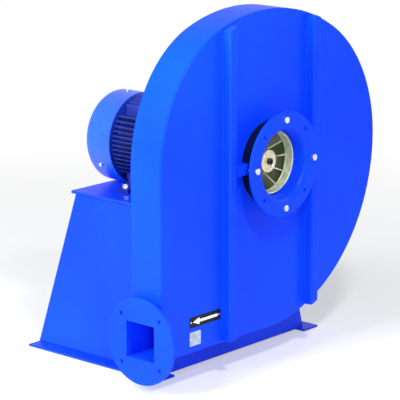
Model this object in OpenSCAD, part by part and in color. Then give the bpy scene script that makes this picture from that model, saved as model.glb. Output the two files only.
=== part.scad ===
// Direct drive centrifugal blower: narrow volute casing, round inlet and outlet flanges, foot mounted motor on a stand.
// X runs to the right, Y from the inlet side to the motor, Z up. The origin is the centre of the floor bolts.

/* [Impeller] */
// Outer diameter of the impeller
impeller_d = 710; // [640:5:780]
// Number of blades
blade_count = 12; // [10:1:14]
// Diameter of the impeller eye
eye_d = 166; // [150:2:180]
// Blade width at the rim
rim_width = 26; // [18:1:32]
// Distance of the blades' eye edge behind the front plate
eye_gap = 8; // [6:1:12]
// Radius where the blades start on the back disc
blade_root_r = 42; // [38:1:46]
// Blade sheet thickness
blade_t = 3; // [2:0.5:4]
// Radius of curvature of the blades
blade_curve_r = 330; // [280:10:420]
// Sheet thickness of back disc and shroud
wheel_t = 4; // [3:0.5:5]
// Hub boss diameter
hub_d = 62; // [58:1:68]
// Hub flange diameter
hub_flange_d = 150; // [130:2:170]
// Hub flange thickness
hub_flange_t = 8; // [6:1:10]

/* [Casing] */
// Inner depth of the casing between its side plates
casing_depth = 98; // [92:1:112]
// Thickness of the side plates
plate_t = 4; // [3:0.5:5]
// Thickness of the scroll band
band_t = 4; // [3:0.5:5]
// Margin of the mounting disc outside the impeller
disc_margin = 35; // [30:1:38]
// Thickness of the mounting disc
disc_t = 6; // [5:0.5:8]
// Width of the front stiffening channels
rib_w = 30; // [20:1:40]
// Height of the front stiffening channels
rib_h = 27; // [20:1:34]
// Distance between the middles of the two channels
rib_pitch = 350; // [320:5:400]

/* [Inlet] */
// Mouth of the inlet in the flange face
inlet_d = 216; // [208:1:218]
// Outer diameter of the inlet flange
inlet_flange_d = 285; // [275:1:300]
// Bolt circle of the inlet flange
inlet_pcd = 241; // [240:1:250]
// Thickness of both duct flanges
flange_t = 8; // [6:1:10]
// Diameter of the duct flange holes
duct_hole_d = 11.5; // [9:0.5:13]
// Distance of the inlet flange face from the front plate
inlet_standoff = 58; // [50:1:66]

/* [Outlet] */
// Outer diameter of the outlet flange
outlet_flange_d = 235; // [220:1:245]
// Bolt circle of the outlet flange
outlet_pcd = 186; // [178:1:192]
// Height of the rectangular outlet
outlet_h = 97; // [85:1:104]
// Length of the outlet neck
neck_l = 18; // [12:1:30]

/* [Stand] */
// Height of the shaft above the floor
shaft_h = 560; // [550:5:620]
// Length of the stand at its top
stand_top_l = 434; // [425:1:445]
// Length of the stand at its base
stand_base_l = 475; // [465:1:500]
// Half width of the stand under the top plate
stand_top_half = 185; // [170:1:195]
// Half width of the stand at the floor
stand_base_half = 298; // [270:1:320]
// Sheet thickness of the stand
panel_t = 4; // [3:0.5:5]
// Thickness of the top plate
top_t = 8; // [6:1:10]
// Thickness of the foot rails
foot_t = 6; // [4:0.5:8]
// Width of a foot rail outside the panel
foot_out = 42; // [36:1:50]
// Diameter of the floor bolt holes
floor_hole_d = 14; // [10:0.5:16]

/* [Motor] */
// Shaft height of the motor above its feet
motor_h = 132; // [132:1:134]
// Length of the motor body from shoulder to cowl end
motor_l = 437; // [430:1:446]
// Diameter over the cooling fins
fin_d = 250; // [246:1:252]
// Spacing of the cooling fins
fin_pitch = 13; // [12:0.5:18]
// Diameter of the fan cowl
cowl_d = 260; // [256:1:262]
// Length of the fan cowl
cowl_l = 100; // [96:1:106]
// Across the motor foot holes
foot_a = 216; // [212:1:220]
// Along the motor foot holes
foot_b = 203; // [196:1:208]
// Shoulder to the first foot holes
foot_c = 89; // [87:1:92]
// Shaft extension diameter
shaft_d = 38; // [34:1:39]
// Shaft extension length
shaft_ext = 80; // [76:1:84]

/* [Hidden] */
$fn = 96;

// Clearances and the overrun of cuts
over = 1;
fit = 0.05;
run = 0.3;

// Shape of the scroll: arcs that run into each other, as shares of the impeller radius
arc_turns = [180, 150, 110, 60, 0, -90];
arc_shares = [1.149, 0.930, 1.589, 1.101, 1.307];
scroll_left_share = 1.211;
scroll_rise_share = 0.0845;
tongue_nose_share = 0.17;
arc_step = 3;
imp_r = impeller_d / 2;
arc_r = [for (s = arc_shares) s * imp_r];
scroll_left = scroll_left_share * imp_r;
scroll_rise = scroll_rise_share * imp_r;
function arc_c(i) = i == 0 ? [arc_r[0] - scroll_left, scroll_rise]
    : arc_c(i - 1) + (arc_r[i - 1] - arc_r[i]) * [cos(arc_turns[i]), sin(arc_turns[i])];
last_arc = len(arc_shares) - 1;
scroll_end = arc_c(last_arc);
scroll_bottom = arc_r[last_arc] - scroll_end[1];

// Stations along Y, from the stand forwards and backwards
rail_front = 20;
rail_l = rail_front + stand_base_l;
stand_y = rail_front - rail_l / 2;
disc_y = stand_y - disc_t;
rear_plate_y = disc_y - plate_t;
front_inner_y = rear_plate_y - casing_depth;
front_y = front_inner_y - plate_t;
inlet_y = front_y - inlet_standoff;
shoulder_gap = 20;
shoulder_y = stand_y + shoulder_gap;
shaft_end_y = shoulder_y - shaft_ext;

// Outlet, seen from the left
outlet_z = shaft_h - scroll_bottom + band_t;
outlet_mid_z = outlet_z + outlet_h / 2;
outlet_mid_y = front_inner_y + casing_depth / 2;
outlet_x = -scroll_left - neck_l - flange_t;

// Stand
stand_top_z = shaft_h - motor_h - top_t;
lean = atan((stand_base_half - stand_top_half) / (stand_top_z - foot_t));
rear_lean = atan((stand_base_l - stand_top_l) / (stand_top_z - foot_t));
panel_x_t = panel_t / cos(lean);
foot_in = 20;
floor_hole_out = 22;
floor_hole_inset = 55;
floor_x = stand_base_half + floor_hole_out;
floor_y = rail_l / 2 - floor_hole_inset;
top_side = 9;

// Fasteners
m6 = 6;
m8 = 8;
m10 = 10;
m12 = 12;
head_share = 1.6;
head_h_share = 0.65;
washer_share = 2;
socket_share = 0.8;
washer_t = 2.5;
function hex_d(size) = size * head_share * 2 / sqrt(3);

// Impeller stations
wheel_gap = 20;
back_disc_y = rear_plate_y - wheel_gap;
eye_lip = 28;
eye_y = front_inner_y + eye_gap;
blade_root_share = 0.65;
rim_y = back_disc_y - rim_width;
hub_recess = 4;
hub_nose = 13;
hub_face_y = eye_y - hub_nose;
hub_tail = 5;
rivet_pcd = 112;
rivet_d = 8;
rivet_head_h = 3;
key_w = 10;
key_h = 8;
key_in_shaft = 5;
key_l = 36;
key_gap = 8;
clamp_washer_d = 46;
clamp_head_share = 1.5;

// Inlet cone and collar
inlet_bolt_count = 4;
inlet_bolt_l = 24;
collar_gap = 1;
collar_d = inlet_pcd - m10 * head_share - 2 * collar_gap;
collar_t = 4;
cone_t = 2;
cone_gap = 3;
cone_lip = 10;

// Channels on the front plate
rib_t = 3;
rib_bend = 6;
rib_inset = 5;

// Mounting disc
disc_d = impeller_d + 2 * disc_margin;
disc_opening_d = impeller_d + disc_margin / 2;
disc_pcd = (disc_d + disc_opening_d) / 2;
disc_bolt_count = 12;
seal_bore_d = 64;
seal_plate_d = 120;
seal_plate_t = 4;
seal_pcd = 96;
seal_screw_count = 4;

// Motor stations
shield_rim = 24;
shield_t = 10;
shield_gap = 2;
shield_screw_count = 4;
shield_screw_in = 16;
spigot = 8;
cowl_y = shoulder_y + motor_l - cowl_l;
frame_y = shoulder_y + shield_rim;
frame_end_y = cowl_y - spigot;
fan_shield_rim = 20;
frame_wall_d = 212;
frame_bore_d = 196;
fin_t = 3.5;
fin_zone_share = 0.75;
cowl_t = 2.5;
cowl_round = 24;
cowl_screw_in = 48;
cowl_post_d = 14;
grille_hub_d = 60;
grille_d = 212;
grille_rings = 5;
grille_bar = 4;
grille_spokes = 6;
grille_spoke_w = 9;

// Bearings, both of one size
bearing_d = 80;
bearing_bore_d = 40;
bearing_w = 18;
ball_d = 12;
ball_pcd = 60;
ball_count = 9;
race_t = 6;
cage_t = 2;
bearing_in = 16;
bearing_out = 4;
drive_bearing_y = shoulder_y + bearing_in;
fan_bearing_y = frame_end_y - bearing_out;
bearing_wall = 9;

// Electric parts
core_l = 150;
core_in = 102;
core_y = shoulder_y + core_in;
air_gap = 0.5;
rotor_r = 64;
winding_l = 30;
winding_in = 5;
core_shaft_d = 46;
end_ring_l = 12;
end_ring_r = 58;

// Terminal box
box_w = 112;
box_l = 112;
box_h = 48;
box_wall = 3;
box_in = 46;
box_y = shoulder_y + box_in;
pad_h = 9;
box_z = shaft_h + fin_d / 2 + pad_h / 2;
lid_h = 10;
gland_d = 32;
gland_l = 22;

// Motor feet
motor_foot_t = 13;
motor_foot_w = 46;
motor_foot_lug = 40;
foot_web_in = 62;
foot_web_t = 16;
foot_web_h = 52;
foot_y = shoulder_y + foot_c - motor_foot_lug / 2;
foot_l = foot_b + motor_foot_lug;

// Cooling fan
fan_d = 208;
fan_hub_d = 50;
fan_in = 22;
fan_disc_share = 0.8;
fan_y = cowl_y + fan_in;
fan_w = 38;
fan_disc_t = 3;
fan_blades = 8;
fan_seat_d = 34;
shaft_tail_y = fan_y + fan_w;

// A flat outline in X and Z about the shaft, from y0 on, deep
module upright(y0, deep) {
    translate([0, y0 + deep, shaft_h]) rotate([90, 0, 0]) linear_extrude(deep) children();
}

// A profile of radius and Y, turned about the shaft
module turned() {
    translate([0, 0, shaft_h]) rotate([-90, 0, 0]) rotate_extrude() children();
}

// A round bar along the shaft
module bar_y(y0, deep, d) {
    translate([0, y0, shaft_h]) rotate([-90, 0, 0]) cylinder(h = deep, d = d);
}

// A ring along the shaft
module ring_y(y0, deep, outer, inner) {
    difference() {
        bar_y(y0, deep, outer);
        bar_y(y0 - over, deep + 2 * over, inner);
    }
}

// Copies on a circle about the shaft, each moved and not turned
module on_circle(count, d, first = 0) {
    for (i = [0 : count - 1]) {
        a = first + i * 360 / count;
        translate([d / 2 * cos(a), 0, d / 2 * sin(a)]) children();
    }
}

// A hexagon bolt along Y: its head lies before y0 and its shank goes to y0 plus grip
module bolt_y(y0, size, grip) {
    bar_y(y0, grip, size);
    translate([0, y0 - size * head_h_share, shaft_h]) rotate([-90, 0, 0])
        cylinder(h = size * head_h_share, d = hex_d(size), $fn = 6);
}

// A wedge of a circle from angle a1 down to angle a0
module wedge(c, r, a0, a1) {
    far = 2 * r;
    mid = (a0 + a1) / 2;
    translate(c) intersection() {
        circle(r);
        polygon([[0, 0], far * [cos(a0), sin(a0)], far * [cos(mid), sin(mid)], far * [cos(a1), sin(a1)]]);
    }
}

// Points along one arc of the scroll, drawn in by inset
function arc_steps(i) = ceil((arc_turns[i] - arc_turns[i + 1]) / arc_step);
function arc_points(i, inset) = [for (k = [0 : arc_steps(i) - 1])
    let (a = arc_turns[i] + (arc_turns[i + 1] - arc_turns[i]) * k / arc_steps(i))
    arc_c(i) + (arc_r[i] - inset) * [cos(a), sin(a)]];

// The scroll's outline, drawn in by inset: the arcs, then the flat floor and the upright left wall
module scroll_outline(inset = 0) {
    polygon(concat([for (i = [0 : last_arc]) for (p = arc_points(i, inset)) p],
        [[scroll_end[0], inset - scroll_bottom], [inset - scroll_left, inset - scroll_bottom]]));
}

module front_plate() {
    color("royalblue") difference() {
        upright(front_y, plate_t) scroll_outline();
        bar_y(front_y - over, plate_t + 2 * over, collar_d + 2 * fit);
    }
}

module scroll_band() {
    color("royalblue") difference() {
        upright(front_inner_y, casing_depth) scroll_outline();
        upright(front_inner_y - over, casing_depth + 2 * over) scroll_outline(band_t);
        translate([-scroll_left - over, front_inner_y - over, outlet_z])
            cube([band_t + 2 * over, casing_depth + 2 * over, outlet_h]);
    }
}

module rear_plate() {
    color("royalblue") difference() {
        upright(rear_plate_y, plate_t) scroll_outline();
        bar_y(rear_plate_y - over, plate_t + 2 * over, disc_opening_d);
        on_circle(disc_bolt_count, disc_pcd, 180 / disc_bolt_count)
            bar_y(rear_plate_y - over, plate_t + 2 * over, m8 + 2 * fit);
    }
}

// The cut-off: a flat sheet over the outlet and a guide arc that leaves it and runs out at the left wall
module cutoff_tongue() {
    wall_x = scroll_left - band_t;
    nose = [-tongue_nose_share * imp_r, outlet_z + outlet_h - shaft_h];
    reach = scroll_rise - nose[1];
    guide_x = (nose[0] * nose[0] + reach * reach - wall_x * wall_x) / (2 * (wall_x + nose[0]));
    guide_r = guide_x + wall_x - fit;
    color("royalblue") upright(front_inner_y, casing_depth) {
        translate([-wall_x, nose[1]]) square([wall_x + nose[0], band_t]);
        intersection() {
            translate([guide_x, scroll_rise]) difference() {
                circle(guide_r);
                circle(guide_r - band_t);
            }
            translate([-wall_x, nose[1]]) square([wall_x + nose[0], reach]);
        }
    }
}

module outlet_neck() {
    color("royalblue") difference() {
        translate([-scroll_left - neck_l, front_y, outlet_z - band_t])
            cube([neck_l, casing_depth + 2 * plate_t, outlet_h + 2 * band_t]);
        translate([-scroll_left - neck_l - over, front_inner_y, outlet_z])
            cube([neck_l + 2 * over, casing_depth, outlet_h]);
    }
}

module outlet_flange() {
    color("royalblue") difference() {
        translate([outlet_x, outlet_mid_y, outlet_mid_z]) rotate([0, 90, 0]) cylinder(h = flange_t, d = outlet_flange_d);
        translate([outlet_x - over, front_inner_y, outlet_z]) cube([flange_t + 2 * over, casing_depth, outlet_h]);
        for (a = [45 : 90 : 315])
            translate([outlet_x - over, outlet_mid_y + outlet_pcd / 2 * cos(a), outlet_mid_z + outlet_pcd / 2 * sin(a)])
                rotate([0, 90, 0]) cylinder(h = flange_t + 2 * over, d = duct_hole_d);
    }
}

// Cross section of a channel with rounded bends, its foot at zero and its face away from the plate
module channel_section(w, h, bend) {
    translate([-w / 2, 0]) square([w, h - bend]);
    translate([bend - w / 2, 0]) square([w - 2 * bend, h]);
    for (s = [-1, 1]) translate([s * (w / 2 - bend), h - bend]) circle(bend);
}

// A closed channel standing on the front plate, its ends cut to the scroll's outline
module front_rib(x) {
    color("royalblue") difference() {
        intersection() {
            translate([x, front_y, 0]) rotate([0, 0, 180]) linear_extrude(2 * shaft_h) channel_section(rib_w, rib_h, rib_bend);
            upright(front_y - rib_h - over, rib_h + over) scroll_outline(rib_inset);
        }
        intersection() {
            translate([x, front_y, 0]) rotate([0, 0, 180]) linear_extrude(2 * shaft_h)
                translate([0, -over]) channel_section(rib_w - 2 * rib_t, rib_h - rib_t + over, rib_bend - rib_t);
            upright(front_y - rib_h - over, rib_h + 2 * over) scroll_outline(rib_inset + rib_t);
        }
    }
}

module front_rib_left() {
    front_rib(-rib_pitch / 2);
}

module front_rib_right() {
    front_rib(rib_pitch / 2);
}

// Two short lengths of the same channel tie the inlet collar to the long ones
module collar_bars() {
    half = (rib_pitch - rib_w) / 2;
    color("royalblue") difference() {
        translate([-half, front_y, shaft_h]) rotate([90, 0, 90]) linear_extrude(2 * half) mirror([1, 0]) rotate(-90)
            difference() {
                channel_section(rib_w, rib_h, rib_bend);
                translate([0, -over]) channel_section(rib_w - 2 * rib_t, rib_h - rib_t + over, rib_bend - rib_t);
            }
        bar_y(inlet_y, inlet_standoff + over, collar_d + 2 * fit);
    }
}

module inlet_collar() {
    color("royalblue") ring_y(inlet_y + flange_t, inlet_standoff - flange_t + plate_t, collar_d, collar_d - 2 * collar_t);
}

module inlet_flange() {
    color("royalblue") difference() {
        ring_y(inlet_y, flange_t, inlet_flange_d, inlet_d);
        on_circle(inlet_bolt_count, inlet_pcd) bar_y(inlet_y - over, flange_t + 2 * over, m10 + 2 * run);
        on_circle(inlet_bolt_count, inlet_pcd, 180 / inlet_bolt_count) bar_y(inlet_y - over, flange_t + 2 * over, duct_hole_d);
    }
}

// The inlet: a spun bell mouth, flush with the flange face, that ends in a short tube round the impeller's eye lip
module inlet_cone() {
    mouth_r = inlet_d / 2 - fit;
    throat_r = eye_d / 2 + wheel_t + cone_gap;
    bell_r = mouth_r - throat_r;
    tube_y = inlet_y + bell_r;
    color("royalblue") turned() {
        bent_sheet([mouth_r, tube_y], bell_r, 180, 270);
        translate([throat_r, tube_y]) square([cone_t, eye_y - eye_lip + cone_lip - tube_y]);
    }
}

module bent_sheet(c, r, a0, a1) {
    difference() {
        wedge(c, r, a0, a1);
        translate(c) circle(r - cone_t);
    }
}

module inlet_bolts() {
    color("gainsboro") on_circle(inlet_bolt_count, inlet_pcd) {
        bolt_y(inlet_y, m10, inlet_bolt_l);
        ring_y(inlet_y + flange_t, m10 * head_h_share, m10 * head_share, m10 - fit);
    }
}

module mounting_disc() {
    color("royalblue") difference() {
        ring_y(disc_y, disc_t, disc_d, seal_bore_d);
        on_circle(disc_bolt_count, disc_pcd, 180 / disc_bolt_count)
            bar_y(disc_y - over, disc_t + 2 * over, m8 + 2 * fit);
        on_circle(seal_screw_count, seal_pcd, 45) bar_y(disc_y - over, disc_t + 2 * over, m6 + 2 * fit);
    }
}

// Bolts from the stand's side, tapped into the rear plate
module disc_bolts() {
    color("gainsboro") on_circle(disc_bolt_count, disc_pcd, 180 / disc_bolt_count) {
        bar_y(rear_plate_y, plate_t + disc_t, m8);
        translate([0, stand_y, shaft_h]) rotate([-90, 0, 0]) cylinder(h = m8 * head_h_share, d = hex_d(m8), $fn = 6);
    }
}

module shaft_seal_felt() {
    color("dimgray") ring_y(disc_y, disc_t, seal_bore_d - 2 * fit, shaft_d + 2 * run);
}

module seal_plate() {
    color("silver") difference() {
        ring_y(stand_y, seal_plate_t, seal_plate_d, shaft_d + seal_plate_t);
        on_circle(seal_screw_count, seal_pcd, 45) bar_y(stand_y - over, seal_plate_t + 2 * over, m6 + 2 * fit);
    }
}

module seal_screws() {
    color("gainsboro") on_circle(seal_screw_count, seal_pcd, 45) {
        bar_y(stand_y - disc_t, disc_t + seal_plate_t, m6);
        bar_y(stand_y + seal_plate_t, m6 * head_h_share, m6 * head_share);
    }
}

// A side panel of the stand: it leans in and its rear edge leans forward
module stand_side() {
    slope = (stand_top_z - foot_t) / cos(lean);
    foot_v = panel_t * tan(lean);
    slant_shift = (stand_base_l - stand_top_l) * foot_v / slope;
    color("royalblue") translate([-stand_base_half, stand_y, foot_t]) rotate([0, lean, 0]) rotate([90, 0, 90])
        linear_extrude(panel_t) polygon([[0, foot_v], [stand_base_l - slant_shift, foot_v], [stand_top_l, slope], [0, slope]]);
}

module stand_left_panel() {
    stand_side();
}

module stand_right_panel() {
    mirror([1, 0, 0]) stand_side();
}

// Half widths between the inner faces of the side panels, at the foot and at the top
function between(half) = half - panel_x_t - fit;

module stand_front_panel() {
    color("royalblue") difference() {
        upright(stand_y, panel_t) translate([0, -shaft_h]) polygon([
            [-between(stand_base_half), foot_t], [between(stand_base_half), foot_t],
            [between(stand_top_half), stand_top_z], [-between(stand_top_half), stand_top_z]]);
        on_circle(disc_bolt_count, disc_pcd, 180 / disc_bolt_count) bar_y(stand_y - over, panel_t + 2 * over, hex_d(m8) + 2 * run);
    }
}

module stand_rear_panel() {
    slope = (stand_top_z - foot_t) / cos(rear_lean);
    foot_v = panel_t * tan(rear_lean);
    drop_share = foot_v / slope;
    foot_half = between(stand_base_half) - (stand_base_half - stand_top_half) * drop_share;
    color("royalblue") translate([0, stand_y + stand_base_l, foot_t]) rotate([rear_lean, 0, 0]) rotate([90, 0, 0])
        linear_extrude(panel_t) polygon([[-foot_half, foot_v], [foot_half, foot_v],
            [between(stand_top_half), slope], [-between(stand_top_half), slope]]);
}

module stand_top_plate() {
    half = stand_top_half + top_side;
    color("royalblue") difference() {
        translate([-half, stand_y, stand_top_z]) cube([2 * half, stand_top_l + top_side, top_t]);
        motor_foot_holes(stand_top_z - over, top_t + 2 * over, m12 + 2 * fit);
    }
}

// The four holes of the motor feet, upright from z0
module motor_foot_holes(z0, deep, d) {
    for (s = [-1, 1], y = [foot_c, foot_c + foot_b])
        translate([s * foot_a / 2, shoulder_y + y, z0]) cylinder(h = deep, d = d);
}

module foot_rail() {
    color("royalblue") difference() {
        translate([-stand_base_half - foot_out, -rail_l / 2, 0]) cube([foot_out + foot_in, rail_l, foot_t]);
        for (s = [-1, 1]) translate([-floor_x, s * floor_y, -over]) cylinder(h = foot_t + 2 * over, d = floor_hole_d);
    }
}

module left_foot_rail() {
    foot_rail();
}

module right_foot_rail() {
    mirror([1, 0, 0]) foot_rail();
}

// Section of the finned barrel: level fins at the sides, upright fins above and below
module fin_section() {
    side_count = floor(frame_wall_d / 2 * fin_zone_share / fin_pitch);
    difference() {
        union() {
            circle(d = frame_wall_d);
            intersection() {
                circle(d = fin_d);
                union() {
                    for (i = [-side_count : side_count]) translate([-fin_d / 2, i * fin_pitch - fin_t / 2]) square([fin_d, fin_t]);
                    for (i = [-side_count + 1 : side_count - 1]) translate([i * fin_pitch - fin_t / 2, -fin_d / 2]) square([fin_t, fin_d]);
                }
            }
        }
        circle(d = frame_bore_d);
    }
}

// The finned barrel with four lugs for the shield screws and a pad for the terminal box
module motor_frame() {
    pad_foot_z = shaft_h + frame_wall_d / 2 - 2 * pad_h;
    color("royalblue") difference() {
        union() {
            upright(frame_y, frame_end_y - frame_y) fin_section();
            translate([-box_w / 2, box_y, pad_foot_z]) cube([box_w, box_l, box_z - pad_foot_z]);
            on_shield_screws() bar_y(frame_y, 2 * shield_screw_in, 2 * shield_t);
        }
        bar_y(frame_y - over, frame_end_y - frame_y + 2 * over, frame_bore_d);
        on_shield_screws() bar_y(frame_y - over, shield_screw_in + over, m8 + 2 * fit);
        for (s = [0, 1]) mirror([s, 0, 0]) foot_seat();
    }
}

module on_shield_screws() {
    on_circle(shield_screw_count, fin_d - 2 * shield_t, 180 / shield_screw_count) children();
}

// The room that a foot takes from the barrel's fins, with a hair of clearance
module foot_seat() {
    translate([-fin_d, foot_y - fit, shaft_h - motor_h - over])
        cube([fin_d - foot_web_in + fit, foot_l + 2 * fit, foot_web_h + fit + over]);
}

// A cast foot: a web under the barrel with two bored lugs
module motor_foot() {
    foot_z = shaft_h - motor_h;
    color("royalblue") difference() {
        union() {
            translate([-foot_web_in - foot_web_t, foot_y, foot_z]) cube([foot_web_t, foot_l, foot_web_h]);
            for (y = [0, foot_b]) translate([-foot_a / 2 - motor_foot_w / 2 + foot_web_t / 2, foot_y + y, foot_z]) {
                cube([foot_a / 2 + motor_foot_w / 2 - foot_web_t / 2 - foot_web_in, motor_foot_lug, motor_foot_t]);
                translate([motor_foot_w, 0, 0])
                    cube([foot_a / 2 - motor_foot_w / 2 - foot_web_t / 2 - foot_web_in, motor_foot_t, foot_web_h]);
            }
        }
        motor_foot_holes(foot_z - over, foot_web_h + 2 * over, m12 + 2 * fit);
    }
}

module motor_left_foot() {
    motor_foot();
}

module motor_right_foot() {
    mirror([1, 0, 0]) motor_foot();
}

// Bolt, washer and nut at each motor foot hole
module motor_foot_fasteners() {
    seat_z = shaft_h - motor_h + motor_foot_t;
    head_w = hex_d(m12);
    color("gainsboro") {
        motor_foot_holes(seat_z, washer_t, m12 * washer_share);
        motor_foot_holes(stand_top_z - 2 * m12 * head_h_share, seat_z - stand_top_z + 2 * m12 * head_h_share, m12);
        for (s = [-1, 1], y = [foot_c, foot_c + foot_b]) translate([s * foot_a / 2, shoulder_y + y, 0]) {
            translate([0, 0, seat_z + washer_t]) cylinder(h = m12 * head_h_share, d = head_w, $fn = 6);
            translate([0, 0, stand_top_z - m12 * head_h_share - washer_t]) cylinder(h = m12 * head_h_share, d = head_w, $fn = 6);
            translate([0, 0, stand_top_z - washer_t]) cylinder(h = washer_t, d = m12 * washer_share);
        }
    }
}

// Drive end shield: a dished disc with a bearing seat, a rim that enters the barrel and four screw bosses
module drive_shield() {
    seat_r = bearing_d / 2 + fit;
    bore_r = shaft_d / 2 + shield_gap;
    color("royalblue") difference() {
        union() {
            turned() polygon([[bore_r, shoulder_y], [seat_r + bearing_wall, shoulder_y], [fin_d / 2 - shield_t, shoulder_y + shield_t],
                [fin_d / 2, frame_y - shield_t], [fin_d / 2, frame_y], [frame_bore_d / 2 - fit, frame_y],
                [frame_bore_d / 2 - fit, frame_y + spigot], [frame_bore_d / 2 - shield_t, frame_y + spigot],
                [frame_bore_d / 2 - shield_t, shoulder_y + 2 * shield_t], [seat_r + bearing_wall, shoulder_y + 2 * shield_t],
                [seat_r + bearing_wall, drive_bearing_y + bearing_w], [seat_r, drive_bearing_y + bearing_w],
                [seat_r, drive_bearing_y], [bore_r, drive_bearing_y]]);
            on_shield_screws() bar_y(shoulder_y + shield_t, shield_rim - shield_t, 2 * shield_t);
        }
        on_shield_screws() {
            bar_y(shoulder_y - over, shield_rim + 2 * over, m8 + 2 * fit);
            bar_y(shoulder_y - over, shield_t + over, 2 * shield_t);
        }
    }
}

// Fan end shield: the same seat, and three posts that carry the cowl
module fan_shield() {
    seat_r = bearing_d / 2 + fit;
    rim_r = cowl_d / 2 - cowl_t - fit;
    color("royalblue") difference() {
        union() {
            turned() polygon([[bearing_bore_d / 2 + shield_gap, fan_bearing_y + bearing_w + shield_t / 2],
                [bearing_bore_d / 2 + shield_gap, fan_bearing_y + bearing_w],
                [seat_r, fan_bearing_y + bearing_w], [seat_r, fan_bearing_y], [seat_r + bearing_wall, fan_bearing_y],
                [seat_r + bearing_wall, frame_end_y + spigot / 2], [frame_bore_d / 2 - shield_t, frame_end_y + spigot / 2],
                [frame_bore_d / 2 - shield_t, frame_end_y - spigot], [frame_bore_d / 2 - fit, frame_end_y - spigot],
                [frame_bore_d / 2 - fit, frame_end_y], [rim_r, frame_end_y + spigot], [rim_r, frame_end_y + fan_shield_rim],
                [frame_bore_d / 2, frame_end_y + fan_shield_rim], [seat_r + bearing_wall, fan_bearing_y + bearing_w + shield_t / 2]]);
            on_circle(3, 2 * rim_r - cowl_post_d, 90) bar_y(frame_end_y + spigot, cowl_screw_in + cowl_post_d / 2, cowl_post_d - 2 * fit);
        }
        cowl_screw_holes(m6 + 2 * fit);
    }
}

// Radial holes through the cowl into its posts
module cowl_screw_holes(d) {
    for (a = [90 : 120 : 330]) translate([0, cowl_y + cowl_screw_in, shaft_h]) rotate([0, 90 - a, 0])
        translate([0, 0, cowl_d / 2 - cowl_post_d]) cylinder(h = 2 * cowl_post_d, d = d);
}

module shield_screws() {
    color("gainsboro") on_shield_screws() bolt_y(shoulder_y + shield_t, m8, shield_rim - shield_t + shield_screw_in - over);
}

// The cowl: a drawn shell with a rounded rear edge and a ring grille
module fan_cowl() {
    end_y = cowl_y + cowl_l;
    color("royalblue") difference() {
        turned() difference() {
            cowl_profile(cowl_d / 2, cowl_round, end_y);
            translate([0, -over]) cowl_profile(cowl_d / 2 - cowl_t, cowl_round - cowl_t, end_y - cowl_t + over);
        }
        translate([0, end_y + over, shaft_h]) rotate([90, 0, 0]) linear_extrude(cowl_t + 2 * over) grille_slots();
        cowl_screw_holes(m6 + 2 * fit);
    }
}

module cowl_profile(r, bend, end_y) {
    translate([0, cowl_y]) square([r, end_y - cowl_y - bend]);
    translate([0, cowl_y]) square([r - bend, end_y - cowl_y]);
    translate([r - bend, end_y - bend]) intersection() {
        circle(bend);
        square(bend);
    }
}

module grille_slots() {
    step = (grille_d - grille_hub_d) / 2 / grille_rings;
    for (i = [0 : grille_rings - 1]) difference() {
        circle(r = grille_hub_d / 2 + (i + 1) * step);
        circle(r = grille_hub_d / 2 + i * step + grille_bar);
        for (a = [0 : 180 / grille_spokes * 2 : 179]) rotate(a) square([2 * grille_d, grille_spoke_w], center = true);
    }
}

module cowl_screws() {
    color("gainsboro") for (a = [90 : 120 : 330]) translate([0, cowl_y + cowl_screw_in, shaft_h]) rotate([0, 90 - a, 0])
        translate([0, 0, cowl_d / 2 - cowl_post_d + over]) {
            cylinder(h = cowl_post_d - over, d = m6);
            translate([0, 0, cowl_post_d - over]) cylinder(h = m6 * head_h_share, d = m6 * washer_share);
        }
}

module terminal_box() {
    color("royalblue") difference() {
        translate([-box_w / 2, box_y, box_z]) cube([box_w, box_l, box_h]);
        translate([box_wall - box_w / 2, box_y + box_wall, box_z + box_wall])
            cube([box_w - 2 * box_wall, box_l - 2 * box_wall, box_h]);
        translate([box_w / 2 - box_wall - over, box_y + box_l / 2, box_z + box_h / 2]) rotate([0, 90, 0])
            cylinder(h = box_wall + 2 * over, d = gland_d / 2 + 2 * fit);
    }
}

module terminal_lid() {
    color("royalblue") translate([-box_w / 2, box_y, box_z + box_h]) difference() {
        cube([box_w, box_l, lid_h]);
        translate([box_wall, box_wall, -over]) cube([box_w - 2 * box_wall, box_l - 2 * box_wall, lid_h - box_wall + over]);
        terminal_screw_holes(lid_h + over);
    }
}

module terminal_screw_holes(deep) {
    for (x = [m8, box_w - m8], y = [m8, box_l - m8]) translate([x, y, -over]) cylinder(h = deep + over, d = m6 + 2 * fit);
}

module terminal_screws() {
    color("gainsboro") for (x = [m8, box_w - m8], y = [m8, box_l - m8])
        translate([x - box_w / 2, box_y + y, box_z + box_h + lid_h]) {
            cylinder(h = m6 * head_h_share, d = m6 * head_share);
            translate([0, 0, -box_wall]) cylinder(h = box_wall, d = m6);
        }
}

module cable_gland() {
    color("dimgray") translate([box_w / 2, box_y + box_l / 2, box_z + box_h / 2]) rotate([0, 90, 0]) difference() {
        union() {
            cylinder(h = gland_l / 2, d = gland_d, $fn = 6);
            cylinder(h = gland_l, d = gland_d * head_h_share);
            translate([0, 0, -2 * box_wall]) cylinder(h = 2 * box_wall, d = gland_d / 2);
        }
        translate([0, 0, gland_l / 2]) cylinder(h = gland_l, d = gland_d / 4);
    }
}

module stator_core() {
    color("slategray") ring_y(core_y, core_l, frame_bore_d - 2 * fit, 2 * (rotor_r + air_gap));
}

module stator_winding() {
    inner = 2 * (rotor_r + winding_in);
    outer = frame_bore_d - 4 * winding_in;
    color("orangered") for (y = [core_y - winding_l, core_y + core_l]) ring_y(y, winding_l, outer, inner);
}

// Rings of a ball bearing with their grooves, from y0 on
module bearing_ring(y0, outer, inner) {
    color("silver") difference() {
        ring_y(y0, bearing_w, outer, inner);
        turned() translate([ball_pcd / 2, y0 + bearing_w / 2]) circle(d = ball_d + 2 * run);
    }
}

module drive_bearing_outer() {
    bearing_ring(drive_bearing_y, bearing_d, bearing_d - 2 * race_t);
}

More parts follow.
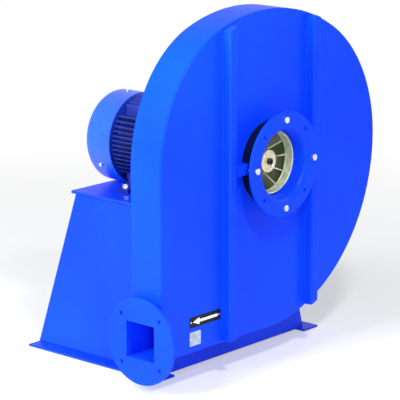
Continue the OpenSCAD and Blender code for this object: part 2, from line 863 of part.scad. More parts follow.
module fan_bearing_outer() {
    bearing_ring(fan_bearing_y, bearing_d, bearing_d - 2 * race_t);
}

module drive_bearing_inner() {
    bearing_ring(drive_bearing_y, bearing_bore_d + 2 * race_t, bearing_bore_d);
}

module fan_bearing_inner() {
    bearing_ring(fan_bearing_y, bearing_bore_d + 2 * race_t, bearing_bore_d);
}

module ball_set(y0) {
    color("silver") on_circle(ball_count, ball_pcd) translate([0, y0 + bearing_w / 2, shaft_h]) sphere(d = ball_d);
}

// A cage: a thin ring with a round pocket for each ball
module bearing_cage(y0) {
    color("goldenrod") difference() {
        ring_y(y0 + (bearing_w - ball_d) / 2 - cage_t, ball_d + 2 * cage_t, ball_pcd + cage_t, ball_pcd - cage_t);
        for (i = [0 : ball_count - 1]) translate([0, y0 + bearing_w / 2, shaft_h]) rotate([0, 90 - i * 360 / ball_count, 0])
            translate([0, 0, (ball_pcd - ball_d) / 2]) cylinder(h = ball_d, d = ball_d + 2 * run);
    }
}

module drive_bearing_cage() {
    bearing_cage(drive_bearing_y);
}

module fan_bearing_cage() {
    bearing_cage(fan_bearing_y);
}

module drive_bearing_balls() {
    ball_set(drive_bearing_y);
}

module fan_bearing_balls() {
    ball_set(fan_bearing_y);
}

// The stepped motor shaft with its keyway and tapped end
module motor_shaft() {
    seat_r = bearing_bore_d / 2 - fit;
    core_r = core_shaft_d / 2;
    core_stop_y = drive_bearing_y + bearing_w;
    color("silver") difference() {
        turned() polygon([[0, shaft_end_y], [shaft_d / 2, shaft_end_y], [shaft_d / 2, drive_bearing_y],
            [seat_r, drive_bearing_y], [seat_r, core_stop_y], [core_r, core_stop_y], [core_r, fan_bearing_y],
            [seat_r, fan_bearing_y], [seat_r, fan_bearing_y + bearing_w], [fan_seat_d / 2, fan_bearing_y + bearing_w],
            [fan_seat_d / 2, shaft_tail_y], [0, shaft_tail_y]]);
        bar_y(shaft_end_y - over, key_l + over, m12 + 2 * fit);
        translate([-key_w / 2 - fit, shaft_end_y + key_gap, shaft_h + shaft_d / 2 - key_in_shaft])
            cube([key_w + 2 * fit, key_l, key_h]);
    }
}

module rotor_core() {
    color("slategray") {
        ring_y(core_y, core_l, 2 * rotor_r, core_shaft_d + 2 * fit);
        for (y = [core_y - end_ring_l, core_y + core_l]) ring_y(y, end_ring_l, 2 * end_ring_r, core_shaft_d + 2 * fit);
    }
}

module shaft_key() {
    color("dimgray") translate([-key_w / 2, shaft_end_y + key_gap + fit, shaft_h + shaft_d / 2 - key_in_shaft + fit])
        cube([key_w, key_l - 2 * fit, key_h - 2 * fit]);
}

// Radial fan on the motor's rear shaft end
module cooling_fan() {
    root_r = (fan_seat_d + fan_hub_d) / 4;
    color("dimgray") difference() {
        union() {
            bar_y(fan_y, fan_w, fan_hub_d);
            bar_y(fan_y, fan_disc_t, fan_d * fan_disc_share);
            for (i = [0 : fan_blades - 1]) translate([0, fan_y, shaft_h]) rotate([0, i * 360 / fan_blades, 0])
                translate([root_r, fan_disc_t / 2, -fan_disc_t / 2]) cube([fan_d / 2 - root_r, fan_w - fan_disc_t, fan_disc_t]);
        }
        bar_y(fan_y - over, fan_w + 2 * over, fan_seat_d + 2 * fit);
    }
}

// One rivet between every two blades
module on_rivets() {
    on_circle(blade_count, rivet_pcd, 180 / blade_count) children();
}

module impeller_back_disc() {
    color("tan") difference() {
        ring_y(back_disc_y, wheel_t, impeller_d, hub_d + 2 * fit);
        on_rivets() bar_y(back_disc_y - over, wheel_t + 2 * over, rivet_d + 2 * fit);
    }
}

// One blade's outline: an arc of sheet that leaves the root radially and trails the clockwise rotation at the rim
module blade_line() {
    intersection() {
        difference() {
            circle(r = imp_r);
            circle(r = blade_root_r);
        }
        translate([blade_root_r, blade_curve_r]) difference() {
            circle(r = blade_curve_r + blade_t / 2);
            circle(r = blade_curve_r - blade_t / 2);
        }
        translate([0, -blade_root_r]) square(2 * imp_r);
    }
}

// Blades stand on the back disc and end under the shroud and at a sloping inlet edge
module impeller_blades() {
    color("tan") intersection() {
        upright(eye_y, back_disc_y - eye_y) for (i = [0 : blade_count - 1]) rotate(i * 360 / blade_count) blade_line();
        turned() polygon([[blade_root_r, back_disc_y],
            [blade_root_r, back_disc_y + (eye_y - back_disc_y) * blade_root_share], [eye_d / 2, eye_y],
            [imp_r, rim_y], [imp_r, back_disc_y]]);
    }
}

module impeller_shroud() {
    eye_r = eye_d / 2;
    color("tan") turned() polygon([[eye_r, eye_y], [eye_r, eye_y - wheel_t], [eye_r + wheel_t, eye_y - wheel_t],
        [imp_r, rim_y - wheel_t], [imp_r, rim_y]]);
}

// The eye ring: a rolled lip welded to the shroud's inner edge
module impeller_eye_ring() {
    color("tan") ring_y(eye_y - eye_lip, eye_lip - wheel_t, eye_d + 2 * wheel_t, eye_d);
}

// The hub: a boss through the back disc, a riveted flange behind it, a keyed bore and a nose with a seat for the washer
module impeller_hub() {
    flange_y = back_disc_y + wheel_t;
    tail_y = flange_y + hub_flange_t + hub_tail;
    color("darkkhaki") difference() {
        union() {
            bar_y(hub_face_y, tail_y - hub_face_y, hub_d);
            bar_y(flange_y, hub_flange_t, hub_flange_d);
        }
        bar_y(shaft_end_y - fit, tail_y - shaft_end_y + fit + over, shaft_d + 2 * fit);
        bar_y(hub_face_y - over, hub_recess + over, clamp_washer_d + 2 * fit);
        bar_y(hub_face_y, shaft_end_y - hub_face_y, m12 + 2 * fit);
        translate([-key_w / 2 - fit, shaft_end_y - fit, shaft_h])
            cube([key_w + 2 * fit, tail_y - shaft_end_y + fit + over, shaft_d / 2 - key_in_shaft + key_h]);
        on_rivets() bar_y(flange_y - over, hub_flange_t + 2 * over, rivet_d + 2 * fit);
    }
}

module impeller_rivets() {
    stack = wheel_t + hub_flange_t;
    head_d = rivet_d * head_share;
    color("darkkhaki") on_rivets() {
        bar_y(back_disc_y, stack, rivet_d);
        bar_y(back_disc_y - rivet_head_h, rivet_head_h, head_d);
        bar_y(back_disc_y + stack, rivet_head_h, head_d);
    }
}

module clamp_washer() {
    color("darkkhaki") ring_y(hub_face_y, hub_recess, clamp_washer_d, m12 + 2 * fit);
}

// A socket head screw that draws the hub onto the shaft
module clamp_bolt() {
    head_h = m12 * head_h_share;
    color("dimgray") difference() {
        union() {
            bar_y(hub_face_y - head_h, head_h, m12 * clamp_head_share);
            bar_y(hub_face_y, shaft_end_y - hub_face_y + key_l - 2 * over, m12);
        }
        translate([0, hub_face_y - head_h - over, shaft_h]) rotate([-90, 0, 0])
            cylinder(h = head_h * socket_share + over, d = m12 * socket_share, $fn = 6);
    }
}

front_plate();
scroll_band();
rear_plate();
cutoff_tongue();
outlet_neck();
outlet_flange();
front_rib_left();
front_rib_right();
collar_bars();
inlet_collar();
inlet_flange();
inlet_cone();
inlet_bolts();
mounting_disc();
disc_bolts();
shaft_seal_felt();
seal_plate();
seal_screws();
stand_left_panel();
stand_right_panel();
stand_front_panel();
stand_rear_panel();
stand_top_plate();
left_foot_rail();
right_foot_rail();
motor_frame();
motor_left_foot();
motor_right_foot();
motor_foot_fasteners();
drive_shield();
fan_shield();
shield_screws();
fan_cowl();
cowl_screws();
terminal_box();
terminal_lid();
terminal_screws();
cable_gland();
stator_core();
stator_winding();
drive_bearing_outer();
fan_bearing_outer();
drive_bearing_inner();
fan_bearing_inner();
drive_bearing_cage();
fan_bearing_cage();
drive_bearing_balls();
fan_bearing_balls();
motor_shaft();
rotor_core();
shaft_key();
cooling_fan();
impeller_back_disc();
impeller_blades();
impeller_shroud();
impeller_eye_ring();
impeller_hub();
impeller_rivets();
clamp_washer();
clamp_bolt();
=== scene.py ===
import bpy, bmesh, math
from mathutils import Matrix, Vector


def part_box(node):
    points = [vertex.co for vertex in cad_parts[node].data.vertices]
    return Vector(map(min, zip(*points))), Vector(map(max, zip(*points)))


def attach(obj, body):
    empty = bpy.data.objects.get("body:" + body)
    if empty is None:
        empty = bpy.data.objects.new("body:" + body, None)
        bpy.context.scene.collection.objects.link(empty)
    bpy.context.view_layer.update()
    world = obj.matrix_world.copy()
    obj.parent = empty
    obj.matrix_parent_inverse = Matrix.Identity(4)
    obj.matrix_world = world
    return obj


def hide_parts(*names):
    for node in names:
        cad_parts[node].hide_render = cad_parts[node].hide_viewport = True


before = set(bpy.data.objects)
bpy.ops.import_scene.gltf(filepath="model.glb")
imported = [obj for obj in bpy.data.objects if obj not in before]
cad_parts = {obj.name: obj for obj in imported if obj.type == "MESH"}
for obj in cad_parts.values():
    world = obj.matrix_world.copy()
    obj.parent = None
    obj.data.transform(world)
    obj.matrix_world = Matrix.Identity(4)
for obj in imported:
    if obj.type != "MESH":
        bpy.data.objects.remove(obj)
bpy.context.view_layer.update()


# The standpoint of the photograph: from the left and a little above, with a long lens.
# The shaft lies 560 mm over the floor, and the inlet flange face 397.5 mm before the middle of the feet.
SHAFT = Vector((0, 0, 0.560))
AZIMUTH, ELEVATION = math.radians(-48.79), math.radians(13.43)
level = math.cos(ELEVATION)
towards = Vector((math.sin(AZIMUTH) * level, -math.cos(AZIMUTH) * level, math.sin(ELEVATION)))
camera = bpy.data.cameras.new("photographer")
camera.sensor_width, camera.lens = 36, 193.7
camera.clip_end = 60
standpoint = bpy.data.objects.new("photographer", camera)
bpy.context.scene.collection.objects.link(standpoint)
standpoint.location = (-4.3766, -3.9268, 1.8032)
standpoint.rotation_euler = (-towards).to_track_quat("-Z", "Y").to_euler()
bpy.context.scene.camera = standpoint


# The studio: a pale floor that runs out of sight and a white surround, one small key lamp high in front that throws
# the inlet flange's shadow on the casing, a broad one from the left for its side, a weak one from the right, and
# one beside the standpoint that reaches into the inlet.
# The lamps give about plain daylight on the paint; the white behind comes from the surround alone.
def node_material(name):
    material = bpy.data.materials.new(name)
    material.use_nodes = True
    nodes, links = material.node_tree.nodes, material.node_tree.links
    return material, nodes, links, nodes["Principled BSDF"]


def seen_or_mirrored(tree):
    """1 for what the camera sees straight, in a reflection or through glass, 0 for light that falls on the object."""
    path, both, all_three = (tree.nodes.new("ShaderNode" + kind) for kind in ("LightPath", "Math", "Math"))
    both.operation, all_three.operation = "MAXIMUM", "MAXIMUM"
    tree.links.new(path.outputs["Is Camera Ray"], both.inputs[0])
    tree.links.new(path.outputs["Is Glossy Ray"], both.inputs[1])
    tree.links.new(both.outputs[0], all_three.inputs[0])
    tree.links.new(path.outputs["Is Transmission Ray"], all_three.inputs[1])
    return all_three.outputs[0]


# The floor fades to the surround's white between these distances from under the shaft.
FADE_FROM, FADE_TO = 0.7, 2.6
floor_finish, nodes, links, shader = node_material("studio_floor")
shader.inputs["Base Color"].default_value = (0.86, 0.87, 0.89, 1)
shader.inputs["Roughness"].default_value = 0.6
glow = nodes.new("ShaderNodeEmission")
glow.inputs["Color"].default_value = (1, 1, 1, 1)
blend, place, out_from, fade, share = (nodes.new("ShaderNode" + kind) for kind in (
    "MixShader", "TexCoord", "VectorMath", "MapRange", "Math"))
out_from.operation, share.operation = "LENGTH", "MULTIPLY"
fade.inputs["From Min"].default_value, fade.inputs["From Max"].default_value = FADE_FROM, FADE_TO
fade.inputs["To Min"].default_value, fade.inputs["To Max"].default_value = 0.45, 1.0
links.new(place.outputs["Object"], out_from.inputs[0])
links.new(out_from.outputs["Value"], fade.inputs["Value"])
links.new(fade.outputs["Result"], share.inputs[0])
links.new(seen_or_mirrored(floor_finish.node_tree), share.inputs[1])
links.new(share.outputs[0], blend.inputs[0])
links.new(shader.outputs[0], blend.inputs[1])
links.new(glow.outputs[0], blend.inputs[2])
links.new(blend.outputs[0], nodes["Material Output"].inputs[0])

ground = bmesh.new()
bmesh.ops.create_circle(ground, cap_ends=True, segments=64, radius=14)
floor_mesh = bpy.data.meshes.new("studio_floor")
ground.to_mesh(floor_mesh)
ground.free()
floor = bpy.data.objects.new("studio_floor", floor_mesh)
floor.location.z = -0.0006
floor_mesh.materials.append(floor_finish)
bpy.context.scene.collection.objects.link(floor)

world = bpy.data.worlds.new("surround")
bpy.context.scene.world = world
world.use_nodes = True
sky = world.node_tree
sky.nodes["Background"].inputs["Color"].default_value = (0.80, 0.86, 0.95, 1)
sky.nodes["Background"].inputs["Strength"].default_value = 0.17
white = sky.nodes.new("ShaderNodeBackground")
white.inputs["Color"].default_value = (1, 1, 1, 1)
white.inputs["Strength"].default_value = 1.0
choose = sky.nodes.new("ShaderNodeMixShader")
sky.links.new(seen_or_mirrored(sky), choose.inputs[0])
sky.links.new(sky.nodes["Background"].outputs[0], choose.inputs[1])
sky.links.new(white.outputs[0], choose.inputs[2])
sky.links.new(choose.outputs[0], sky.nodes["World Output"].inputs[0])


def soft_lamp(name, place, width, height, watts):
    """A rectangular lamp at place that points at the shaft."""
    lamp = bpy.data.lights.new(name, "AREA")
    lamp.shape, lamp.size, lamp.size_y = "RECTANGLE", width, height
    lamp.energy = watts
    holder = bpy.data.objects.new(name, lamp)
    holder.location = place
    holder.rotation_euler = (SHAFT - Vector(place)).to_track_quat("-Z", "Y").to_euler()
    bpy.context.scene.collection.objects.link(holder)


soft_lamp("key_lamp_front", (-0.80, -1.55, 2.15), 0.26, 0.26, 44)
soft_lamp("fill_lamp_front", (-2.2, -2.3, 1.15), 0.4, 0.4, 26)
soft_lamp("side_lamp_left", (-3.2, 0.1, 2.1), 1.4, 2.0, 235)
soft_lamp("edge_lamp_right", (2.6, -2.2, 1.6), 0.5, 1.0, 26)
bpy.context.scene.view_settings.view_transform = "Standard"


# The casing: laser cut side plates and a rolled scroll band of 4 mm steel, seam welded, with two folded channels
# on the front plate. All of it is sprayed with one gloss enamel: a deep blue with a slight orange peel, and the
# sheet under it is never quite flat. Sharp edges are broken by hand before the paint.
def broken_edges(node, width, body="housing", smooth=30, corner=30):
    """A copy of a solid with its faces joined up and its edges rounded by width, shown in its place."""
    bm = bmesh.new()
    bm.from_mesh(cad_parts[node].data)
    bmesh.ops.remove_doubles(bm, verts=bm.verts, dist=2e-6)
    bmesh.ops.dissolve_limit(bm, angle_limit=math.radians(0.6), verts=bm.verts, edges=bm.edges,
                             use_dissolve_boundaries=False)
    mesh = bpy.data.meshes.new(node + "_painted")
    bm.to_mesh(mesh)
    bm.free()
    mesh.materials.clear()
    mesh.shade_smooth()
    mesh.set_sharp_from_angle(angle=math.radians(smooth))
    piece = bpy.data.objects.new(node + "_painted", mesh)
    bpy.context.scene.collection.objects.link(piece)
    if width:
        edge = piece.modifiers.new("broken_edge", "BEVEL")
        edge.width, edge.segments, edge.limit_method = width, 2, "ANGLE"
        edge.angle_limit, edge.use_clamp_overlap, edge.harden_normals = math.radians(corner), True, False
        even = piece.modifiers.new("even_shading", "WEIGHTED_NORMAL")
        even.keep_sharp = True
    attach(piece, body)
    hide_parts(node)
    return piece


def enamel(name, deep, lit, rough, peel_scale, peel, shine, patch_scale=2.2):
    """Gloss or satin paint on sheet or castings: two near tones in soft patches, peel in the surface, faint dust."""
    material, nodes, links, shader = node_material(name)
    where = nodes.new("ShaderNodeTexCoord")
    patches = nodes.new("ShaderNodeTexNoise")
    patches.inputs["Scale"].default_value, patches.inputs["Detail"].default_value = patch_scale, 3
    tones = nodes.new("ShaderNodeValToRGB")
    tones.color_ramp.elements[0].position, tones.color_ramp.elements[1].position = 0.35, 0.68
    tones.color_ramp.elements[0].color, tones.color_ramp.elements[1].color = (*deep, 1), (*lit, 1)
    dust = nodes.new("ShaderNodeTexNoise")
    dust.inputs["Scale"].default_value, dust.inputs["Detail"].default_value = 60, 6
    gloss = nodes.new("ShaderNodeMapRange")
    gloss.inputs["From Min"].default_value, gloss.inputs["From Max"].default_value = 0.3, 0.7
    gloss.inputs["To Min"].default_value, gloss.inputs["To Max"].default_value = rough - 0.04, rough + 0.06
    skin = nodes.new("ShaderNodeTexNoise")
    skin.inputs["Scale"].default_value, skin.inputs["Detail"].default_value = peel_scale, 2
    waves = nodes.new("ShaderNodeTexNoise")
    waves.inputs["Scale"].default_value, waves.inputs["Detail"].default_value = 7, 1
    sheet = nodes.new("ShaderNodeBump")
    sheet.inputs["Strength"].default_value, sheet.inputs["Distance"].default_value = 0.25, 0.003
    peeled = nodes.new("ShaderNodeBump")
    peeled.inputs["Strength"].default_value, peeled.inputs["Distance"].default_value = peel, 0.0006
    for texture in (patches, dust, skin, waves):
        links.new(where.outputs["Object"], texture.inputs["Vector"])
    links.new(patches.outputs["Fac"], tones.inputs["Fac"])
    links.new(tones.outputs["Color"], shader.inputs["Base Color"])
    links.new(dust.outputs["Fac"], gloss.inputs["Value"])
    links.new(gloss.outputs["Result"], shader.inputs["Roughness"])
    links.new(waves.outputs["Fac"], sheet.inputs["Height"])
    links.new(skin.outputs["Fac"], peeled.inputs["Height"])
    links.new(sheet.outputs["Normal"], peeled.inputs["Normal"])
    links.new(peeled.outputs["Normal"], shader.inputs["Normal"])
    shader.inputs["Specular IOR Level"].default_value = shine
    return material


casing_enamel = enamel("casing_enamel", (0.002, 0.040, 0.80), (0.003, 0.056, 0.92), 0.36, 260, 0.035, shine=0.07)
for node, width in (("front_plate", 0.0018), ("scroll_band", 0), ("rear_plate", 0.0012), ("outlet_neck", 0.001),
                    ("outlet_flange", 0.0012), ("front_rib_left", 0.0025), ("front_rib_right", 0.0025),
                    ("collar_bars", 0.002), ("mounting_disc", 0.0012), ("cutoff_tongue", 0)):
    piece = broken_edges(node, width)
    piece.data.materials.append(casing_enamel)


# The weld seams of the casing: hand laid beads down both sides of the two channels on the front plate, and round
# the outlet neck at the casing and at the flange. Each is a low round bead with the torch's ripples, painted over.
CHANNEL_BEAD, NECK_BEAD, BEAD_STEP = 0.0022, 0.0024, 0.006
CHANNEL_FOOT_GAP, CHANNEL_TOP_GAP = 0.012, 0.02


def made(name, bm, finish, smooth=True):
    """The finished mesh as a piece of the scene, in one finish."""
    mesh = bpy.data.meshes.new(name)
    bm.to_mesh(mesh)
    bm.free()
    if smooth:
        mesh.shade_smooth()
    mesh.materials.append(finish)
    piece = bpy.data.objects.new(name, mesh)
    bpy.context.scene.collection.objects.link(piece)
    return piece


def bead_along(name, points, radius, closed=False):
    """A painted bead of weld that follows points, as a rippled round rod half sunk in the corner."""
    bm = bmesh.new()
    rings, last = [], len(points)
    for i, p in enumerate(points):
        before, after = points[i - 1 if i or closed else 0], points[(i + 1) % last if closed or i < last - 1 else i]
        along = (after - before).normalized()
        turned = along.to_track_quat("Z", "Y").to_matrix().to_4x4()
        swell = radius * (1 + 0.16 * math.sin(i * 2.4))
        ring = bmesh.ops.create_circle(bm, segments=7, radius=swell, matrix=Matrix.Translation(p) @ turned)["verts"]
        rings.append(ring)
    edges = [[e for e in {e for v in ring for e in v.link_edges}] for ring in rings]
    pairs = list(zip(edges, edges[1:])) + ([(edges[-1], edges[0])] if closed else [])
    for a, b in pairs:
        bmesh.ops.bridge_loops(bm, edges=[e for e in set(a) | set(b) if e.is_valid and (e in a or e in b)])
    if not closed:
        bmesh.ops.holes_fill(bm, edges=[e for e in bm.edges if e.is_boundary], sides=7)
    bmesh.ops.recalc_face_normals(bm, faces=bm.faces)
    piece = made(name, bm, casing_enamel)
    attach(piece, "housing")


def straight(a, b):
    """Points from a to b, a ripple apart."""
    a, b = Vector(a), Vector(b)
    count = max(2, int((b - a).length / BEAD_STEP))
    return [a.lerp(b, i / count) for i in range(count + 1)]


front_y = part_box("front_plate")[0].y
for side in ("left", "right"):
    low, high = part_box("front_rib_" + side)
    for k, x in enumerate((low.x, high.x)):
        foot, top = (x, front_y, low.z + CHANNEL_FOOT_GAP), (x, front_y, high.z - CHANNEL_TOP_GAP)
        bead_along(f"rib_seam_{side}_{k}", straight(foot, top), CHANNEL_BEAD)
low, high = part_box("outlet_neck")
flange_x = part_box("outlet_flange")[1].x
for name, x in (("casing", high.x), ("flange", flange_x)):
    corners = [(x, low.y, low.z), (x, high.y, low.z), (x, high.y, high.z), (x, low.y, high.z)]
    ring = [p for a, b in zip(corners, corners[1:] + corners[:1]) for p in straight(a, b)[:-1]]
    bead_along("neck_seam_" + name, ring, NECK_BEAD, closed=True)


# The inlet: a flat flange with its spun bell mouth, one smooth painted surface from the front. The collar that
# carries both gets a near-black paint as painted shadow, a dark band behind the flange crossed by the short channels.
for node, width in (("inlet_flange", 0.0010), ("inlet_cone", 0)):
    piece = broken_edges(node, width, smooth=40, corner=50)
    piece.data.materials.append(casing_enamel)
# Painted shadow: the collar's near-black paint stands in for the shade behind the inlet flange.
collar_shadow_paint = enamel("collar_painted_shadow", (0.002, 0.004, 0.022), (0.004, 0.008, 0.04), 0.55, 300, 0.1, shine=0.1)
piece = broken_edges("inlet_collar", 0)
piece.data.materials.append(collar_shadow_paint)


# Bolts, nuts and washers of steel, turned and pressed, in bright zinc plate with a faint blue and yellow cast and a
# fine grain. Four hold the bell mouth to the collar, and twelve the mounting disc to the rear plate.
def plated(name, dark, light, rough, metal=1.0, grain=900, bump=0.15, shine=0.5):
    """Plated or bare metal, or a moulding: two near tones in small clouds over a fine grain."""
    material, nodes, links, shader = node_material(name)
    where = nodes.new("ShaderNodeTexCoord")
    cast = nodes.new("ShaderNodeTexNoise")
    cast.inputs["Scale"].default_value, cast.inputs["Detail"].default_value = 70, 4
    tones = nodes.new("ShaderNodeValToRGB")
    tones.color_ramp.elements[0].position, tones.color_ramp.elements[1].position = 0.32, 0.7
    tones.color_ramp.elements[0].color, tones.color_ramp.elements[1].color = (*dark, 1), (*light, 1)
    fine = nodes.new("ShaderNodeTexNoise")
    fine.inputs["Scale"].default_value, fine.inputs["Detail"].default_value = grain, 2
    relief = nodes.new("ShaderNodeBump")
    relief.inputs["Strength"].default_value, relief.inputs["Distance"].default_value = bump, 0.0003
    gloss = nodes.new("ShaderNodeMapRange")
    gloss.inputs["To Min"].default_value, gloss.inputs["To Max"].default_value = rough - 0.08, rough + 0.1
    links.new(where.outputs["Object"], cast.inputs["Vector"])
    links.new(where.outputs["Object"], fine.inputs["Vector"])
    links.new(cast.outputs["Fac"], tones.inputs["Fac"])
    links.new(tones.outputs["Color"], shader.inputs["Base Color"])
    links.new(cast.outputs["Fac"], gloss.inputs["Value"])
    links.new(gloss.outputs["Result"], shader.inputs["Roughness"])
    links.new(fine.outputs["Fac"], relief.inputs["Height"])
    links.new(relief.outputs["Normal"], shader.inputs["Normal"])
    shader.inputs["Metallic"].default_value = metal
    shader.inputs["Specular IOR Level"].default_value = shine
    return material


zinc = plated("zinc_plate", (0.62, 0.68, 0.74), (0.88, 0.90, 0.90), 0.30)
for node in ("inlet_bolts", "disc_bolts", "seal_screws", "motor_foot_fasteners", "shield_screws", "cowl_screws",
             "terminal_screws"):
    piece = broken_edges(node, 0.0005)
    piece.data.materials.append(zinc)


# The wheel: back disc, curved blades and dished shroud of bare rolled steel with a greenish oil cast, riveted to a
# turned hub. A flush washer and a black socket screw hold it on the shaft. The turning marks run round the shaft.
rolled_steel = plated("rolled_steel", (0.44, 0.50, 0.33), (0.68, 0.74, 0.52), 0.36, metal=0.35, grain=260, bump=0.3)
for node, width in (("impeller_back_disc", 0.0008), ("impeller_blades", 0.0005), ("impeller_shroud", 0.0006),
                    ("impeller_eye_ring", 0.0012), ("impeller_rivets", 0.0008)):
    piece = broken_edges(node, width, body="rotor")
    piece.data.materials.append(rolled_steel)


def turned_marks(name, dark, light, rough, metal=0.9):
    """Lathe turned metal: fine rings round the shaft in the surface, over two near tones in small clouds."""
    material, nodes, links, shader = node_material(name)
    where = nodes.new("ShaderNodeTexCoord")
    centre = nodes.new("ShaderNodeMapping")
    centre.inputs["Location"].default_value = (0, 0, -SHAFT.z)
    rings = nodes.new("ShaderNodeTexWave")
    rings.wave_type, rings.rings_direction = "RINGS", "Y"
    rings.inputs["Scale"].default_value, rings.inputs["Distortion"].default_value = 160, 1.5
    rings.inputs["Detail"].default_value = 3
    tones = nodes.new("ShaderNodeValToRGB")
    tones.color_ramp.elements[0].color, tones.color_ramp.elements[1].color = (*dark, 1), (*light, 1)
    cast = nodes.new("ShaderNodeTexNoise")
    cast.inputs["Scale"].default_value, cast.inputs["Detail"].default_value = 45, 4
    relief = nodes.new("ShaderNodeBump")
    relief.inputs["Strength"].default_value, relief.inputs["Distance"].default_value = 0.2, 0.0003
    links.new(where.outputs["Object"], centre.inputs["Vector"])
    links.new(centre.outputs["Vector"], rings.inputs["Vector"])
    links.new(where.outputs["Object"], cast.inputs["Vector"])
    links.new(cast.outputs["Fac"], tones.inputs["Fac"])
    links.new(tones.outputs["Color"], shader.inputs["Base Color"])
    links.new(rings.outputs["Fac"], relief.inputs["Height"])
    links.new(relief.outputs["Normal"], shader.inputs["Normal"])
    shader.inputs["Metallic"].default_value = metal
    shader.inputs["Roughness"].default_value = rough
    return material


turned_hub = turned_marks("turned_hub", (0.60, 0.52, 0.26), (0.86, 0.80, 0.52), 0.34, metal=0.5)
for node in ("impeller_hub", "clamp_washer"):
    piece = broken_edges(node, 0.0014, body="rotor")
    piece.data.materials.append(turned_hub)
black_oxide = plated("black_oxide", (0.02, 0.022, 0.025), (0.05, 0.055, 0.06), 0.42, metal=0.8)
for node in ("clamp_bolt", "shaft_key"):
    piece = broken_edges(node, 0.0006, body="rotor")
    piece.data.materials.append(black_oxide)


# The stand: cut and folded 4 mm sheet panels that lean inwards, an 8 mm top plate and two foot rails, welded and
# painted with the casing. It gets a copy of the casing's enamel, a little rougher, with its blue written darker as
# painted shade.
# Painted shade: this copy of the enamel has a darker blue than the casing's, for the shade the stand gets.
shaded_stand_enamel = enamel("shaded_stand_enamel", (0.003, 0.040, 0.72), (0.004, 0.055, 0.84), 0.38, 260, 0.04,
                      shine=0.14, patch_scale=3.1)
for node in ("stand_left_panel", "stand_right_panel", "stand_front_panel", "stand_rear_panel", "stand_top_plate",
             "left_foot_rail", "right_foot_rail"):
    piece = broken_edges(node, 0.0012)
    piece.data.materials.append(shaded_stand_enamel)


# The motor: a ribbed cast barrel on two cast feet between two shields, with a drawn sheet cowl over its fan and a
# terminal box on top. Castings show a sandy skin under a deeper blue paint, written darker still as painted shade;
# the cowl is smooth.
# Painted shade: the castings' blue is written several times darker than the cowl's, for the shade over the finned
# barrel.
shaded_cast_paint = enamel("shaded_cast_paint", (0.003, 0.010, 0.13), (0.005, 0.018, 0.23), 0.40, 190, 0.35,
                    shine=0.35, patch_scale=5)
for node, width in (("motor_frame", 0.0007), ("motor_left_foot", 0.0015), ("motor_right_foot", 0.0015),
                    ("drive_shield", 0.001), ("fan_shield", 0.001), ("terminal_box", 0.002), ("terminal_lid", 0.002)):
    piece = broken_edges(node, width)
    piece.data.materials.append(shaded_cast_paint)
cowl_paint = enamel("cowl_paint", (0.003, 0.052, 0.72), (0.004, 0.078, 0.92), 0.30, 260, 0.05,
                    shine=0.6, patch_scale=4)
piece = broken_edges("fan_cowl", 0.0006)
piece.data.materials.append(cowl_paint)


# Inside the motor and at its shaft: ground bearing rings and balls in brass cages, dull laminations, varnished
# copper winding heads, a felt seal, its aluminium plate, and black moulded parts.
ground_steel = turned_marks("ground_steel", (0.50, 0.51, 0.53), (0.66, 0.67, 0.69), 0.24)
laminations = plated("laminations", (0.16, 0.165, 0.175), (0.27, 0.275, 0.285), 0.5, metal=0.7)
copper = plated("varnished_copper", (0.42, 0.15, 0.06), (0.66, 0.28, 0.12), 0.35, metal=0.85)
brass = plated("cage_brass", (0.62, 0.44, 0.14), (0.80, 0.61, 0.25), 0.3)
bare_aluminium = turned_marks("seal_plate_aluminium", (0.58, 0.59, 0.61), (0.74, 0.75, 0.77), 0.32)
felt = plated("felt", (0.03, 0.028, 0.025), (0.075, 0.07, 0.062), 0.9, metal=0, grain=1400, bump=0.8)
moulded = plated("black_moulding", (0.012, 0.012, 0.013), (0.03, 0.03, 0.032), 0.45, metal=0, grain=700, bump=0.2)
for finish, names in ((ground_steel, ("motor_shaft", "drive_bearing_outer", "fan_bearing_outer",
                                      "drive_bearing_inner", "fan_bearing_inner", "drive_bearing_balls",
                                      "fan_bearing_balls")),
                      (laminations, ("stator_core", "rotor_core")), (copper, ("stator_winding",)),
                      (brass, ("drive_bearing_cage", "fan_bearing_cage")), (bare_aluminium, ("seal_plate",)),
                      (felt, ("shaft_seal_felt",)), (moulded, ("cooling_fan", "cable_gland"))):
    for name in names:
        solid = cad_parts[name]
        solid.data.materials.clear()
        solid.data.materials.append(finish)


# The direction plate low on the casing: a black enamelled aluminium strip with one white arrow towards the outlet,
# held by a rivet at each end. Under it lies a small bare aluminium plate. Both lie flat on the front plate.
PLATE_X, PLATE_Z = (-0.322, -0.198), (0.163, 0.192)
BLANK_X, BLANK_Z = (-0.322, -0.278), (0.113, 0.151)
PLATE_T, CORNER_R = 0.001, 0.003
RIVET_R, RIVET_FLATNESS = 0.0022, 0.5
PRINT_T, PRINT_GAP = 0.0002, 0.0001
ARROW_TIP, ARROW_NECK, ARROW_TAIL = -0.310, -0.284, -0.211
HEAD_HALF, SHAFT_HALF = 0.0095, 0.0036


def raised(bm, by):
    """A flat face drawn out into a closed sheet."""
    far = bmesh.ops.extrude_face_region(bm, geom=bm.faces[:])
    bmesh.ops.translate(bm, vec=by, verts=[v for v in far["geom"] if isinstance(v, bmesh.types.BMVert)])


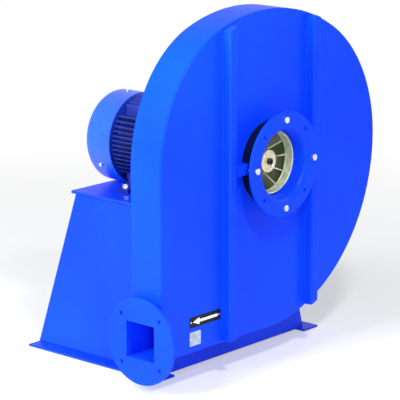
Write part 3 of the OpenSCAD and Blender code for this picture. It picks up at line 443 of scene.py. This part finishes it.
def small_plate(name, x, z, finish):
    """A thin plate with round corners, flat on the front plate."""
    bm = bmesh.new()
    bmesh.ops.create_grid(bm, x_segments=1, y_segments=1, size=0.5)
    bmesh.ops.scale(bm, vec=(x[1] - x[0], z[1] - z[0], 1), verts=bm.verts)
    bmesh.ops.bevel(bm, geom=bm.verts[:], offset=CORNER_R, affect="VERTICES", segments=4, profile=0.5, material=-1)
    raised(bm, (0, 0, PLATE_T))
    upright = Matrix.Rotation(math.radians(90), 4, "X")
    place = Matrix.Translation((sum(x) / 2, front_y, sum(z) / 2))
    bmesh.ops.transform(bm, matrix=place @ upright, verts=bm.verts)
    bmesh.ops.recalc_face_normals(bm, faces=bm.faces)
    piece = made(name, bm, finish, smooth=False)
    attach(piece, "housing")
    return piece


black_enamel = plated("plate_black", (0.003, 0.003, 0.004), (0.008, 0.008, 0.010), 0.35, metal=0, shine=0.15)
white_print = plated("plate_white", (0.80, 0.80, 0.80), (0.90, 0.90, 0.90), 0.45, metal=0)
brushed = plated("brushed_plate", (0.30, 0.36, 0.46), (0.52, 0.58, 0.66), 0.34, metal=0.85, grain=500, bump=0.2)
small_plate("arrow_plate", PLATE_X, PLATE_Z, black_enamel)
small_plate("blank_plate", BLANK_X, BLANK_Z, brushed)
for name, x, z, inset in (("arrow_plate_rivets", PLATE_X, PLATE_Z, 0.006),
                          ("blank_plate_rivets", BLANK_X, BLANK_Z, 0.004)):
    bm = bmesh.new()
    for at in (x[0] + inset, x[1] - inset):
        dome = bmesh.ops.create_uvsphere(bm, u_segments=12, v_segments=8, radius=RIVET_R)["verts"]
        bmesh.ops.scale(bm, vec=(1, RIVET_FLATNESS, 1), verts=dome)
        bmesh.ops.translate(bm, vec=(at, front_y - PLATE_T, sum(z) / 2), verts=dome)
    piece = made(name, bm, zinc)
    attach(piece, "housing")

arrow = bmesh.new()
middle, y = sum(PLATE_Z) / 2, front_y - PLATE_T - PRINT_GAP
upper = [(ARROW_NECK, HEAD_HALF), (ARROW_NECK, SHAFT_HALF), (ARROW_TAIL, SHAFT_HALF)]
outline = [(ARROW_TIP, 0)] + upper + [(x, -z) for x, z in reversed(upper)]
arrow.faces.new([arrow.verts.new((x, y, middle + z)) for x, z in outline])
raised(arrow, (0, -PRINT_T, 0))
bmesh.ops.recalc_face_normals(arrow, faces=arrow.faces)
print_piece = made("arrow_print", arrow, white_print, smooth=False)
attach(print_piece, "housing")
